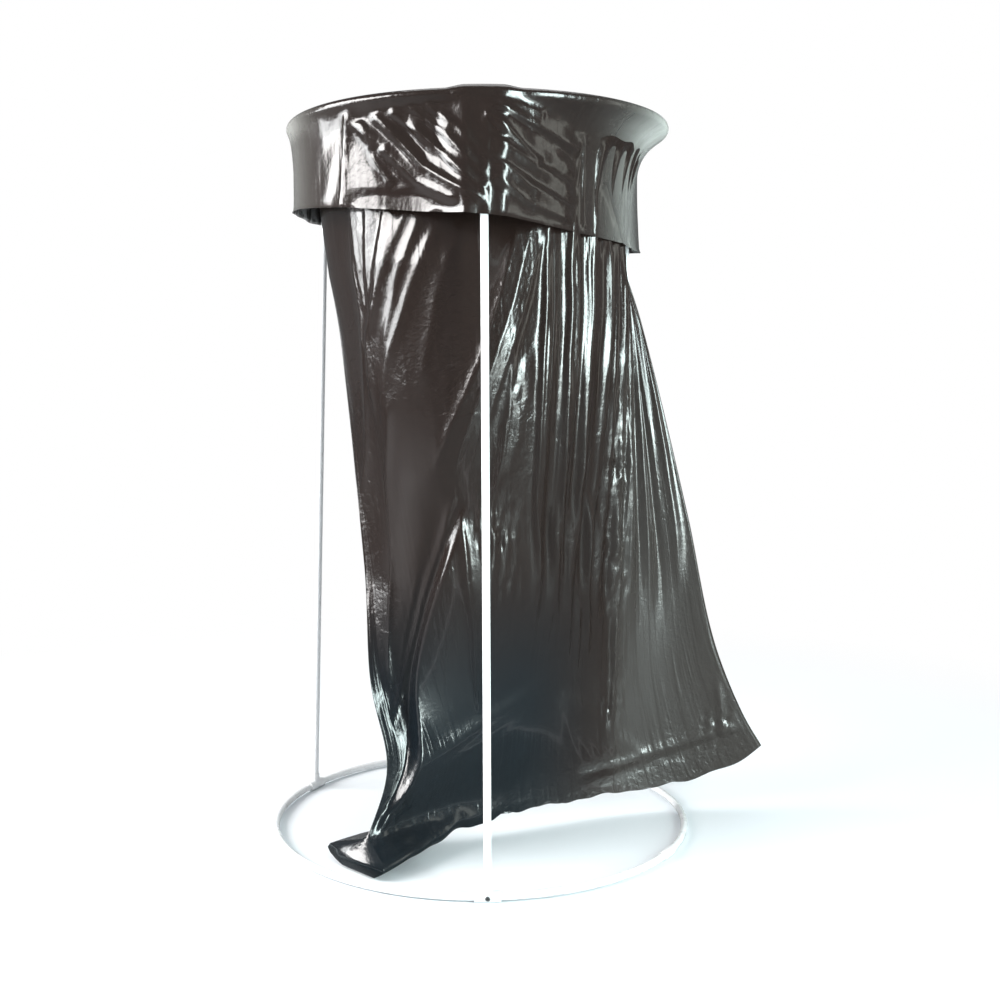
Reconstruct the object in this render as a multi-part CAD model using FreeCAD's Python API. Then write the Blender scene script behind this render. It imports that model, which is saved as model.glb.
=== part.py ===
"""Wire bin stand: two coated wire rings on three splayed legs, with the bin bag that hangs in it."""
import FreeCAD, Part
import math
import os

from FreeCAD import Vector

# Frame: white coated steel wire, millimetres throughout
base_ring_radius = 240.0        # centreline of the ring on the floor
top_ring_radius = 209.0         # centreline of the ring that carries the bag
ring_spacing = 790.0            # between the planes of the two rings
ring_wire_radius = 4.0
wire_sides = 8                  # flats that stand for the round of the rings' wire
leg_radius = 4.0
first_leg_azimuth = 1.7         # degrees from the front, towards the right
butt_gap = 1.0                  # between the two ends of a ring's wire
fit_gap = 0.15                  # between a moulded bore and the wire in it

# Clips: white mouldings that join a leg to a ring
clip_length = 27.0              # along the ring
clip_wall = 1.3
sole_depth = 0.3                # cut from the saddle's round to stand flat on the floor
socket_height = 14.0            # from the ring's centreline to the socket's mouth
socket_wall_root = 1.1
socket_wall_mouth = 0.8
seat_web = 2.0                  # between the ring's wire and the end of the leg
moulding_sides = 12             # flats that stand for the round of the small pieces

# Screws: each pins a clip to its ring
screw_shank_radius = 1.2
screw_bite = 2.6                # depth of the shank in the wire
screw_head_radius = 2.6
screw_crown_radius = 1.8        # of the head's flat top
screw_head_height = 1.0
screw_gap = 0.05                # between the shank and its hole

# Sleeves: each covers the butt joint of a ring's wire
sleeve_length = 24.0
sleeve_wall = 0.8
base_sleeve_azimuth = 58.0
top_sleeve_azimuth = 158.0

# Bag: glossy film, drawn over the top ring, thicker here than the film itself
film_wall = 1.2
film_gap = 0.3                  # between the film and what it touches
facet_allowance = 0.3           # for the chords of the film's flat facets round the ring
over_clip = 0.65                # half width of the film's rise over a clip, against the clip's length
over_clip_fade = 6.0            # degrees in which it falls back to the wire
over_sleeve = 0.7
over_sleeve_fade = 7.0
cuff_drop = 108.0               # mean depth of the cuff below the ring
cuff_drop_right = 20.0          # how much deeper it hangs on the right
cuff_drop_front = 8.0
cuff_draw = 0.16                # share of the cuff's depth in which it draws in under the ring
cuff_waist = 38.0               # inside the ring's radius, on the right where the cuff is drawn tight
cuff_slack = 2.0                # and on the left, where it hangs loose
leg_berth = 5.0                 # degrees to each side of a leg over which the cuff stands clear of it
neck_inset = 41.0               # of the bag's body just below the ring, from the ring's centreline
neck_shift = -9.0               # of the neck's middle to the side
body_shift = 9.0                # of the body's middle to the other side, below the neck
body_shift_start = 0.1          # shares of the bag's depth where that begins
body_shift_full = 0.2           # and over which it grows
body_shift_end = 0.6
body_shift_fade = 0.25
neck_depth = 0.06               # share of the bag's depth in which the body draws in to its neck
body_depth_front = 1.20         # the body's front to back size against its width
body_depth_back = 0.80
body_depth_share = 0.45         # share of the bag's depth at which that is reached
body_power = 3.5                # how late the body narrows on its way down
body_fullness = 0.75            # below 1 the front and back stay apart for longer
flat_start = 0.20               # share of the bag's depth at which it starts to flatten to its seam
left_crease = -104.0            # azimuths of the two creases that the flat tube of film was folded at
right_crease = 88.0
gather_top = 1.9                # crowds the film towards the right crease at the ring
gather_seam = 0.10              # and away from it at the seam
foot_inset = 26.0               # from the base ring's centreline to the corner that lies on the floor
foot_azimuth = -38.0
foot_height = 2.0
foot_roll_front = 38.0          # how far the rolled-up corner swells forward
foot_roll_back = 62.0           # and backward
foot_roll_length = 0.20         # share of the seam that the roll takes
foot_roll_height = 9.0          # of the roll's fullest part above the floor
foot_roll_rise = 15.0           # how far above that it fades
foot_draw = 22.0                # how far the left side draws in above the roll
foot_draw_share = 0.87          # at this share of the bag's depth
foot_draw_spread = 0.08
foot_draw_power = 3.0           # how soon it is lost towards the tip
tip_reach = 102.0               # of the other corner, outside the base ring's centreline
tip_azimuth = 95.0
tip_height = 76.0
seam_sag = 26.0                 # of the bottom seam below a straight line
seam_sag_power = 3.0            # how near to the tip it sags most
seam_bow = 62.0                 # of its middle towards the back
cavity_floor = 0.955            # share of the bag's depth at which its inside ends
cavity_margin = 0.03            # share of the film's width by which it stops short of the creases

# Folds of the film
cuff_fold_count = 4
cuff_fold_height = 4.0
cuff_fold_width = 11.0
fan_spread = 11.0               # degrees between the fan's creases on the left of the leg
fan_foot = 5.0                  # degrees from the leg at which they meet
fan_top = 0.05                  # shares of the cuff's depth between which they run
fan_end = 0.95
right_fan_reach = 34.0          # degrees that the creases on the right of the leg run
right_fan_step = 0.2            # share of the cuff's depth between them at the leg
right_fan_fall = 0.3            # and how far they fall
fan_fade = 0.2
pleat_count = 8
pleat_height = 7.0
pleat_width = 7.0
pleat_first_column = 20         # of the front film's columns; each pleat takes two of them
pleat_top = 0.05                # shares of the bag's depth between which the pleats run
pleat_end = 0.78
drag_height = 5.0               # of the diagonal fold dragged from the ring towards the skirt
drag_width = 26.0
drag_top = (0.46, 0.10)         # shares of the film's width and of the bag's depth
drag_end = (0.25, 0.48)
skirt_height = 24.0             # of the lip that hangs forward over the foot
skirt_edge = 9.0                # width of the lip's edge
skirt_fade = 120.0
skirt_apex = (0.30, 0.50)
skirt_end = (0.02, 0.93)
skirt_growth = 0.3              # share of the skirt's edge over which it grows
hollow_depth = 12.0
hollow_width = 34.0
hollow_top = (0.13, 0.08)
hollow_end = (0.09, 0.62)
folds_fade_top = 0.1            # shares of the bag's depth over which the folds fade
folds_end = 0.86
folds_fade_end = 0.12

# Mesh of flat facets that the film is built from
side_columns = 38
column_skew = 1.25              # crowds the columns towards the left crease
body_shares = (0.992, 0.98, 0.965, 0.945, 0.90, 0.84, 0.76, 0.67, 0.57, 0.47, 0.37, 0.27, 0.18, 0.10, 0.035)
wrap_steps = 5
cuff_shares = (0.10, 0.25, 0.45, 0.70, 1.0)


def bow(length):
    """How far the wire of the top ring curves away from a straight piece of a length."""
    return top_ring_radius * (1 - math.cos(length / 2 / top_ring_radius))


clip_bore = ring_wire_radius + fit_gap + bow(clip_length) / 2
saddle_radius = clip_bore + clip_wall
sleeve_bore = ring_wire_radius + fit_gap + bow(sleeve_length) / 2
sleeve_radius = sleeve_bore + sleeve_wall
leg_bore = leg_radius + fit_gap
leg_seat = ring_wire_radius + seat_web
base_ring_height = saddle_radius - sole_depth
top_ring_height = base_ring_height + ring_spacing
leg_names = ("front", "right", "left")
full_turn = 360.0
leg_azimuths = [first_leg_azimuth + full_turn * i / len(leg_names) for i in range(len(leg_names))]
quarter_turn = 90.0
neck_radius = top_ring_radius - neck_inset
film_half = math.pi * neck_radius
wrap_turn = math.pi
up = Vector(0, 0, 1)


def around(azimuth, radius, height):
    """Point at an azimuth in degrees, 0 at the front and positive towards the right."""
    angle = math.radians(azimuth)
    return Vector(radius * math.sin(angle), -radius * math.cos(angle), height)


def degrees_of(length, radius):
    return math.degrees(length / radius)


def outline(sides, apothem, centre, along, facing):
    """Regular outline across a direction, with one flat turned to the facing side."""
    side = along.cross(facing).normalize()
    front = side.cross(along).normalize()
    reach = apothem / math.cos(math.pi / sides)
    turns = [2 * math.pi * (i + 0.5) / sides for i in range(sides)]
    corners = [centre + (front * math.cos(turn) + side * math.sin(turn)) * reach for turn in turns]
    return Part.makePolygon(corners + corners[:1])


def bar(apothem, start, along, facing):
    """Straight length of round moulding."""
    return Part.Face(outline(moulding_sides, apothem, start, along, facing)).extrude(along)


def tapered_bar(root, mouth, start, along, facing):
    """Length of round moulding that tapers from its root to its mouth."""
    near = outline(moulding_sides, root, start, along, facing)
    far = outline(moulding_sides, mouth, start + along, along, facing)
    a = [vertex.Point for vertex in near.OrderedVertexes]
    b = [vertex.Point for vertex in far.OrderedVertexes]
    faces = [Part.Face(near), Part.Face(far)]
    for i in range(moulding_sides):
        j = (i + 1) % moulding_sides
        faces.append(Part.Face(Part.makePolygon([a[i], a[j], b[j], b[i], a[i]])))
    return Part.makeSolid(Part.makeShell(faces))


def on_ring(azimuth, radius, height, length):
    """Middle, direction and outward side of a straight piece that a ring's wire runs through."""
    centre = around(azimuth, radius - bow(length) / 2, height)
    return centre, around(azimuth + quarter_turn, length, 0), around(azimuth, 1, 0)


def tube(azimuth, radius, height, length, bore, outside, extra=None):
    """Straight tube round a ring's wire, with anything extra that grows from it."""
    centre, along, outward = on_ring(azimuth, radius, height, length)
    body = bar(outside, centre - along * 0.5, along, outward)
    if extra:
        body = body.fuse(extra)
    return body.cut(bar(bore, centre - along, along * 2, outward))


def screw_seat(azimuth, radius, height):
    """Middle of the saddle's outward flat, the outward direction, and the shank's length under it."""
    centre, along, outward = on_ring(azimuth, radius, height, clip_length)
    seat = centre + outward * saddle_radius
    buried = radius + ring_wire_radius - screw_bite
    return seat, outward, math.hypot(seat.x, seat.y) - buried


def screw(azimuth, radius, height):
    """Pan-head screw: shank in the wire, head on the saddle's flat."""
    seat, outward, length = screw_seat(azimuth, radius, height)
    shank = bar(screw_shank_radius, seat, outward * -length, up)
    head = tapered_bar(screw_head_radius, screw_crown_radius, seat, outward * screw_head_height, up)
    return shank.fuse(head)


def screw_hole(azimuth, radius, height):
    seat, outward, length = screw_seat(azimuth, radius, height)
    return bar(screw_shank_radius + screw_gap, seat + outward, outward * -(length + 1 + screw_gap), up)


def ring(radius, height, seam_azimuth):
    """Wire bent to a circle, with its ends a small gap apart under the sleeve."""
    gap = degrees_of(butt_gap, radius)
    start = around(seam_azimuth + gap / 2, radius, height)
    tangent = around(seam_azimuth + gap / 2 + quarter_turn, 1, 0)
    flat = ring_wire_radius * math.cos(math.pi / wire_sides)
    section = Part.Face(outline(wire_sides, flat, start, tangent, up))
    wire = section.revolve(Vector(0, 0, height), up, full_turn - gap)
    for azimuth in leg_azimuths:
        wire = wire.cut(screw_hole(azimuth, radius, height))
    return wire


def sleeve(radius, height, azimuth):
    """Short tube over the wire's butt joint."""
    return tube(azimuth, radius, height, sleeve_length, sleeve_bore, sleeve_radius)


def leg_ends(azimuth):
    """Where a leg's axis crosses the two rings' centrelines."""
    low = around(azimuth, base_ring_radius, base_ring_height)
    high = around(azimuth, top_ring_radius, top_ring_height)
    return low, high


def leg(azimuth):
    """Straight bar between the seats of its two sockets."""
    low, high = leg_ends(azimuth)
    along = (high - low).normalize()
    length = (high - low).Length - 2 * leg_seat
    return Part.makeCylinder(leg_radius, length, low + along * leg_seat, along)


def clip(azimuth, radius, height, along):
    """Saddle round the ring's wire with a tapered socket for the leg."""
    start = around(azimuth, radius, height)
    outward = around(azimuth, 1, 0)
    root = leg_bore + socket_wall_root
    mouth = leg_bore + socket_wall_mouth
    socket = tapered_bar(root, mouth, start, along * socket_height, outward)
    body = tube(azimuth, radius, height, clip_length, clip_bore, saddle_radius, socket)
    body = body.cut(bar(leg_bore, start + along * leg_seat, along * socket_height, outward))
    return body.cut(screw_hole(azimuth, radius, height))


def flat_sole(body, azimuth):
    """Cuts the clip's underside level with the floor."""
    block = Part.makeBox(2 * clip_length, 2 * clip_length, clip_length)
    middle = around(azimuth, base_ring_radius, 0)
    block.translate(middle - Vector(clip_length, clip_length, clip_length))
    return body.cut(block)


def smooth(x):
    """0 below 0, 1 above 1, and an even curve between."""
    x = min(1.0, max(0.0, x))
    return x * x * (3 - 2 * x)


def turn_between(a, b):
    """Smallest angle from b to a, in degrees."""
    return (a - b + full_turn / 2) % full_turn - full_turn / 2


def post(azimuth, centre, half_width, fade):
    """1 within half_width of an azimuth, falling to 0 over fade."""
    return 1.0 - smooth((abs(turn_between(azimuth, centre)) - half_width) / fade)


def wrap_radius(azimuth):
    """Radius of the film round the top ring's wire: bare wire, sleeve, or clip with its screw."""
    plain = ring_wire_radius + film_gap
    at_sleeve = sleeve_radius + 2 * film_gap
    at_clip = saddle_radius + screw_head_height + 2 * film_gap
    half_width = degrees_of(sleeve_length, top_ring_radius) * over_sleeve
    rise = (at_sleeve - plain) * post(azimuth, top_sleeve_azimuth, half_width, over_sleeve_fade)
    half_width = degrees_of(clip_length, top_ring_radius) * over_clip
    for leg_azimuth in leg_azimuths:
        rise = max(rise, (at_clip - plain) * post(azimuth, leg_azimuth, half_width, over_clip_fade))
    return plain + rise + facet_allowance + film_wall / 2


def leg_offset(drop):
    """Distance of a leg's axis from the stand's axis, at a depth below the top ring."""
    return top_ring_radius + (base_ring_radius - top_ring_radius) * drop / ring_spacing


def ridge(place, start, end, width):
    """Round ridge of height 1 along a line between two places, all as (across, down) in millimetres."""
    off = line_offset(place, start, end)[1]
    return math.exp(-(off / width) ** 2)


def line_offset(place, start, end):
    """Share of the line at the nearest point of it, and the distance from it."""
    run = (end[0] - start[0], end[1] - start[1])
    step = (place[0] - start[0], place[1] - start[1])
    share = (run[0] * step[0] + run[1] * step[1]) / (run[0] ** 2 + run[1] ** 2)
    share = min(1.0, max(0.0, share))
    return share, math.hypot(step[0] - share * run[0], step[1] - share * run[1])


def side_of_line(place, start, end):
    """Distance to the right of a line that runs down, negative to its left."""
    run = (end[0] - start[0], end[1] - start[1])
    step = (place[0] - start[0], place[1] - start[1])
    return (step[0] * run[1] - step[1] * run[0]) / math.hypot(run[0], run[1])


def hem_drop(azimuth):
    angle = math.radians(azimuth)
    return cuff_drop + cuff_drop_right * math.sin(angle) + cuff_drop_front * math.cos(angle)


def belt_radius(azimuth, drop):
    """The cuff is drawn in below the ring like a belt round the bag and the three legs."""
    tight = (1.0 + math.sin(math.radians(azimuth))) / 2
    belt = top_ring_radius - cuff_slack - (cuff_waist - cuff_slack) * smooth(tight)
    outside_leg = leg_offset(drop) + leg_bore + socket_wall_mouth + 2 * film_gap + film_wall / 2
    touch = math.acos(min(1.0, belt / outside_leg))
    radius = belt
    for leg_azimuth in leg_azimuths:
        away = math.radians(max(0.0, abs(turn_between(azimuth, leg_azimuth)) - leg_berth))
        if away < touch:
            radius = max(radius, belt / math.cos(touch - away))
    return radius


def wrap_lean(azimuth):
    """How far round under the ring the film clings before the cuff leaves it, in radians."""
    inward = top_ring_radius + wrap_radius(azimuth) - belt_radius(azimuth, 0.0)
    return math.atan2(max(0.0, inward), cuff_draw * hem_drop(azimuth))


def cuff_folds(azimuth, share):
    """Creases that fan out from where the film is caught on the front leg."""
    across = math.radians(1.0) * top_ring_radius
    place = (across * turn_between(azimuth, leg_azimuths[0]), cuff_drop * share)
    height = 0.0
    for i in range(cuff_fold_count):
        top = (across * fan_spread * (i - cuff_fold_count), fan_top * cuff_drop)
        height += ridge(place, top, (across * -fan_foot, fan_end * cuff_drop), cuff_fold_width)
        down = fan_top + right_fan_step * i
        top = (across * fan_foot, down * cuff_drop)
        foot = (across * right_fan_reach, (down + right_fan_fall) * cuff_drop)
        height += ridge(place, top, foot, cuff_fold_width)
    return cuff_fold_height * height * smooth(share / fan_fade)


def cuff_point(azimuth, share):
    """Middle of the film on the cuff: share 0 at the ring, 1 at the hem."""
    lean = wrap_lean(azimuth)
    reach = wrap_radius(azimuth)
    start = top_ring_radius + reach * math.cos(lean)
    drop = reach * math.sin(lean) * (1 - share) + share * hem_drop(azimuth)
    drawn = 1.0 - math.exp(-share / cuff_draw)
    radius = start + (belt_radius(azimuth, drop) - start) * drawn + cuff_folds(azimuth, share)
    return around(azimuth, radius, top_ring_height - drop)


def wrap_point(azimuth, share, side):
    """Point on one face of the film over the ring: share 0 outside, 1 inside."""
    lean = wrap_lean(azimuth)
    angle = (wrap_turn + lean) * share - lean
    reach = (wrap_radius(azimuth) + side * film_wall / 2) / math.cos((wrap_turn + lean) / 2 / wrap_steps)
    radius = top_ring_radius + reach * math.cos(angle)
    return around(azimuth, radius, top_ring_height + reach * math.sin(angle))


def seam_point(share):
    """Bottom seam, from the corner on the floor to the corner that sticks out."""
    foot = around(foot_azimuth, base_ring_radius - foot_inset, foot_height)
    tip = around(tip_azimuth, base_ring_radius + tip_reach, tip_height)
    bow_shape = 4.0 * share * (1.0 - share)
    power = seam_sag_power
    sag_shape = share ** power * (1.0 - share) * (power + 1.0) ** (power + 1.0) / power ** power
    return foot + (tip - foot) * share + Vector(0, seam_bow * bow_shape, -seam_sag * sag_shape)


def column_place(column):
    """Place across the film of a column of the mesh: 0 to 1 over the front, 1 to 2 over the back."""
    share = column / side_columns
    if share <= 1.0:
        return share ** column_skew
    return 2.0 - (2.0 - share) ** column_skew


def film_azimuth(place):
    """Azimuth at the ring of a place across the film."""
    front_span = right_crease - left_crease
    if place <= 1.0:
        return left_crease + front_span * (1.0 - (1.0 - place) ** gather_top)
    return right_crease + (full_turn - front_span) * (place - 1.0)


def seam_share(place):
    """Share of the bottom seam that a place across the film runs down to."""
    near = place if place <= 1.0 else 2.0 - place
    return near - gather_seam * math.sin(math.pi * near ** 2)


def body_point(place, share):
    """Middle of the body's film without folds: a round neck that flattens to the seam."""
    place = place % 2.0
    azimuth = film_azimuth(place)
    angle = math.radians(azimuth)
    inside_ring = top_ring_radius - wrap_radius(azimuth)
    in_neck = 1.0 - math.exp(-share / neck_depth)
    neck = neck_radius * (1.0 - share ** body_power)
    radius = inside_ring + (neck - inside_ring) * in_neck
    flat = max(0.0, (share - flat_start) / (1 - flat_start))
    depth = body_depth_front if math.cos(angle) > 0 else body_depth_back
    depth = 1.0 + (depth - 1.0) * smooth(share / body_depth_share)
    seam = seam_point(seam_share(place))
    near_foot = math.exp(-((share - foot_draw_share) / foot_draw_spread) ** 2)
    near_foot *= (1.0 - seam_share(place)) ** foot_draw_power
    shift = body_shift * smooth((share - body_shift_start) / body_shift_full)
    shift *= 1 - smooth((share - body_shift_end) / body_shift_fade)
    x = (1 - flat) * (radius * math.sin(angle) + neck_shift * in_neck)
    x += flat * seam.x + foot_draw * near_foot + shift
    y = -(1 - flat) ** body_fullness * radius * depth * math.cos(angle) + flat * seam.y
    return Vector(x, y, (1 - share) * top_ring_height + share * seam.z)


def on_film(place, share):
    """Place on the front film laid flat, in millimetres from its middle and from the ring."""
    return (place - 0.5) * film_half, share * top_ring_height


def body_folds(place, share):
    """Height of the folds: pleats on the right, the skirt over the foot, the hollow on the left."""
    if place > 1.0:
        return 0.0
    here = on_film(place, share)
    height = 0.0
    for i in range(pleat_count):
        across = column_place(pleat_first_column + 2 * i)
        beside = column_place(pleat_first_column + 2 * i + 1)
        crest = ridge(here, on_film(across, pleat_top), on_film(across, pleat_end), pleat_width)
        trough = ridge(here, on_film(beside, pleat_top), on_film(beside, pleat_end), pleat_width)
        height += pleat_height / 2 * (crest - trough)
    edge = (on_film(*skirt_apex), on_film(*skirt_end))
    lip = side_of_line(here, *edge)
    grown = smooth(line_offset(here, *edge)[0] / skirt_growth)
    height += skirt_height * smooth(lip / skirt_edge) * math.exp(-max(0.0, lip) / skirt_fade) * grown
    height -= hollow_depth * ridge(here, on_film(*hollow_top), on_film(*hollow_end), hollow_width)
    height += drag_height * ridge(here, on_film(*drag_top), on_film(*drag_end), drag_width)
    fade = smooth(share / folds_fade_top) * (1.0 - smooth((share - folds_end) / folds_fade_end))
    return height * fade


def foot_bulge(place, share):
    """Swelling of the rolled corner that lies on the floor."""
    along = seam_share(place) / foot_roll_length
    rise = ((1.0 - share) * top_ring_height - foot_roll_height) / foot_roll_rise
    swell = foot_roll_front if place <= 1.0 else foot_roll_back
    return swell * math.exp(-along ** 2 - rise ** 2)


def body_face(place, share, side):
    """Point on one face of the body's film: side 1 is the inside of the bag, -1 the outside."""
    point = body_point(place, share)
    across = body_point(place + 0.004, share) - body_point(place - 0.004, share)
    down = body_point(place, share + 0.004) - body_point(place, share - 0.004)
    outward = down.cross(across).normalize()
    push = body_folds(place, share) + foot_bulge(place, share) - side * film_wall / 2
    point = point + outward * push
    point.z = max(point.z, film_gap)
    return point


def cuff_face(azimuth, share, side):
    """Point on one face of the cuff: side 1 is the outside, -1 faces the legs."""
    point = cuff_point(azimuth, share)
    across = cuff_point(azimuth + 0.5, share) - cuff_point(azimuth - 0.5, share)
    down = cuff_point(azimuth, share + 0.01) - cuff_point(azimuth, share - 0.01)
    return point + down.cross(across).normalize() * side * film_wall / 2


def film_column(place):
    """Points of the film at one place: up the outside, over the ring, round the hem and down the inside."""
    azimuth = film_azimuth(place)
    wrap = [i / wrap_steps for i in range(wrap_steps + 1)]
    column = [body_face(place, share, -1) for share in body_shares]
    column += [wrap_point(azimuth, share, -1) for share in reversed(wrap)]
    column += [cuff_face(azimuth, share, -1) for share in cuff_shares]
    column += [cuff_face(azimuth, share, 1) for share in reversed(cuff_shares)]
    column += [wrap_point(azimuth, share, 1) for share in wrap]
    near = place if place <= 1.0 else 2.0 - place
    inset = cavity_margin + near * (1.0 - 2 * cavity_margin)
    inside = [share for share in reversed(body_shares) if share < cavity_floor - 0.01]
    if place in (0.0, 1.0):
        pairs = [(body_face(inset, s, 1) + body_face(2.0 - inset, s, 1)) * 0.5 for s in inside]
        return column + pairs
    return column + [body_face(inset if place < 1.0 else 2.0 - inset, s, 1) for s in inside]


def seam_line(place):
    """Points where the front and back films meet: the outer seam, and the floor of the bag's inside."""
    inset = cavity_margin + place * (1.0 - 2 * cavity_margin)
    floor = (body_face(inset, cavity_floor, 0) + body_face(2.0 - inset, cavity_floor, 0)) * 0.5
    return seam_point(seam_share(place)), floor


def bag():
    """Closed skin of flat facets on both faces of the film."""
    places = [column_place(i) for i in range(2 * side_columns)]
    columns = [film_column(place) for place in places]
    seams = [seam_line(column_place(i)) for i in range(side_columns + 1)]
    rows = len(columns[0])
    points = [point for column in columns for point in column]
    points += [point for pair in seams for point in pair]

    def corner(i, j):
        if 0 <= j < rows:
            return (i % len(columns)) * rows + j
        near = i if i <= side_columns else 2 * side_columns - i
        return len(columns) * rows + 2 * near + (0 if j < 0 else 1)

    facets = []
    for i in range(len(columns)):
        for j in range(-1, rows):
            square = (corner(i, j), corner(i + 1, j), corner(i + 1, j + 1), corner(i, j + 1))
            for facet in ((square[0], square[1], square[2]), (square[0], square[2], square[3])):
                if len(set(facet)) == 3:
                    facets.append(facet)
    shape = Part.Shape()
    shape.makeShapeFromMesh((points, facets), film_gap / 1000)
    solid = Part.makeSolid(shape)
    if solid.Volume < 0:
        solid.reverse()
    return solid


def build():
    nodes = {
        "base_ring": ring(base_ring_radius, base_ring_height, base_sleeve_azimuth),
        "top_ring": ring(top_ring_radius, top_ring_height, top_sleeve_azimuth),
        "base_ring_sleeve": sleeve(base_ring_radius, base_ring_height, base_sleeve_azimuth),
        "top_ring_sleeve": sleeve(top_ring_radius, top_ring_height, top_sleeve_azimuth),
    }
    for name, azimuth in zip(leg_names, leg_azimuths):
        low, high = leg_ends(azimuth)
        along = (high - low).normalize()
        foot = clip(azimuth, base_ring_radius, base_ring_height, along)
        nodes["leg_" + name] = leg(azimuth)
        nodes["foot_clip_" + name] = flat_sole(foot, azimuth)
        nodes["top_clip_" + name] = clip(azimuth, top_ring_radius, top_ring_height, along * -1.0)
        nodes["foot_screw_" + name] = screw(azimuth, base_ring_radius, base_ring_height)
        nodes["top_screw_" + name] = screw(azimuth, top_ring_radius, top_ring_height)
    nodes["bin_bag"] = bag()
    return nodes


os.makedirs("parts", exist_ok=True)
for node_name, solid in build().items():
    solid.exportStep("parts/" + node_name + ".step")
    box = solid.BoundBox
    print(node_name, solid.ShapeType, solid.isValid(), len(solid.Solids), round(solid.Volume, 1),
          [round(v, 1) for v in (box.XMin, box.YMin, box.ZMin, box.XMax, box.YMax, box.ZMax)])
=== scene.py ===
import math

import bpy
import numpy as np
from bpy.props import FloatProperty, FloatVectorProperty, IntProperty, PointerProperty
from mathutils import Matrix, Vector


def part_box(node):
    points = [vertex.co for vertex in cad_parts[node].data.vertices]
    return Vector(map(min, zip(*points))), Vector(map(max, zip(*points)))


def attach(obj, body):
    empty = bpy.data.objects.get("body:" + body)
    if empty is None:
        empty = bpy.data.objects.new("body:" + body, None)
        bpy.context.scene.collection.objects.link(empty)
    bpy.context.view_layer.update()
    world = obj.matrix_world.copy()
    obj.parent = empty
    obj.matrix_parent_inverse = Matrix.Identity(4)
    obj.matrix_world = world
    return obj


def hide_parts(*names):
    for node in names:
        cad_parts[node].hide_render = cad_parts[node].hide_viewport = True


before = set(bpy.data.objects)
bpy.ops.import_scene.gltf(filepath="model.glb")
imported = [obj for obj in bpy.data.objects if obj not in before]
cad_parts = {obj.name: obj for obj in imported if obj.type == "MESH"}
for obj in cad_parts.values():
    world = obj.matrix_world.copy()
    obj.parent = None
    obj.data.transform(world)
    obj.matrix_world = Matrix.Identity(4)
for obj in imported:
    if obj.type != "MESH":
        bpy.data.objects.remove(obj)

bl_info = {
    "name": "Wire bin stand with its bag",
    "version": (1, 0, 0),
    "blender": (4, 5, 0),
    "location": "3D View > Sidebar > Bin stand",
    "description": "Dresses the wire bin stand: coated rings and legs, moulded clips and the draped film",
    "category": "Object",
}

MM = 0.001
LEGS = ("front", "right", "left")
FIRST_LEG = 1.7
FRAME_WIRE_FLATS = 8
PLAY = 0.00015


def ring_size(node_name):
    """Radius of a ring's centreline, its height, and its wire's radius out to the corners of the frame's flats."""
    low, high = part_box(node_name)
    wire = (high[2] - low[2]) / 2 / math.cos(math.pi / FRAME_WIRE_FLATS)
    return high[0] - wire, (low[2] + high[2]) / 2, wire


BASE_RADIUS, BASE_HEIGHT, WIRE = ring_size("base_ring")
TOP_RADIUS, TOP_HEIGHT, _ = ring_size("top_ring")
RINGS = {"base_ring": (BASE_RADIUS, BASE_HEIGHT), "top_ring": (TOP_RADIUS, TOP_HEIGHT)}


# Settings

def count_setting(name, description, default):
    return IntProperty(name=name, description=description, default=default)


def length_setting(name, description, default):
    return FloatProperty(name=name, description=description, default=default, unit="LENGTH")


def color_setting(name, description, *channels):
    return FloatVectorProperty(name=name, description=description, subtype="COLOR", size=4, default=(*channels, 1))


class StandSizes(bpy.types.PropertyGroup):
    ring_segments: count_setting("Ring segments", "Divisions round each ring", 288)
    wire_segments: count_setting("Wire segments", "Divisions round the wire", 24)
    first_leg: FloatProperty(name="First leg", description="Azimuth of the front leg from the viewer's side",
                             default=math.radians(FIRST_LEG), subtype="ANGLE")
    clip_length: length_setting("Clip length", "Length of a clip along the ring", 0.027)
    clip_wall: length_setting("Clip wall", "Wall of a clip round the wire", 0.0013)
    socket_height: length_setting("Socket height", "From the ring's centreline to the socket's mouth", 0.014)
    socket_root: length_setting("Socket root", "Radius of the socket where it leaves the saddle", 0.00525)
    socket_mouth: length_setting("Socket mouth", "Radius of the socket at its mouth", 0.00495)
    edge_round: length_setting("Edge round", "Rounding of the mouldings' edges", 0.0005)
    sleeve_length: length_setting("Sleeve length", "Length of the sleeve over a ring's joint", 0.024)
    sleeve_round: length_setting("Sleeve round", "Rounding of a sleeve's ends", 0.0003)
    screw_head: length_setting("Screw head", "Radius of a screw's head", 0.0026)
    screw_rise: length_setting("Screw rise", "How far a screw's head stands out of its clip", 0.001)
    slot_width: length_setting("Slot width", "Width of the slot in a screw's head", 0.0006)
    slot_depth: length_setting("Slot depth", "Height of the cutter, half of which is the slot's depth", 0.0008)


class FilmSizes(bpy.types.PropertyGroup):
    front_columns: count_setting("Front columns", "Divisions across the front of the film", 290)
    back_columns: count_setting("Back columns", "Divisions across the back of the film", 150)
    body_rows: count_setting("Body rows", "Divisions from the bottom seam to the ring", 158)
    wrap_rows: count_setting("Wrap rows", "Divisions over the ring", 10)
    cuff_rows: count_setting("Cuff rows", "Divisions from the ring to the hem", 48)
    crinkle: length_setting("Crinkle", "Height of the film's finest creases", 0.0016)


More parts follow.
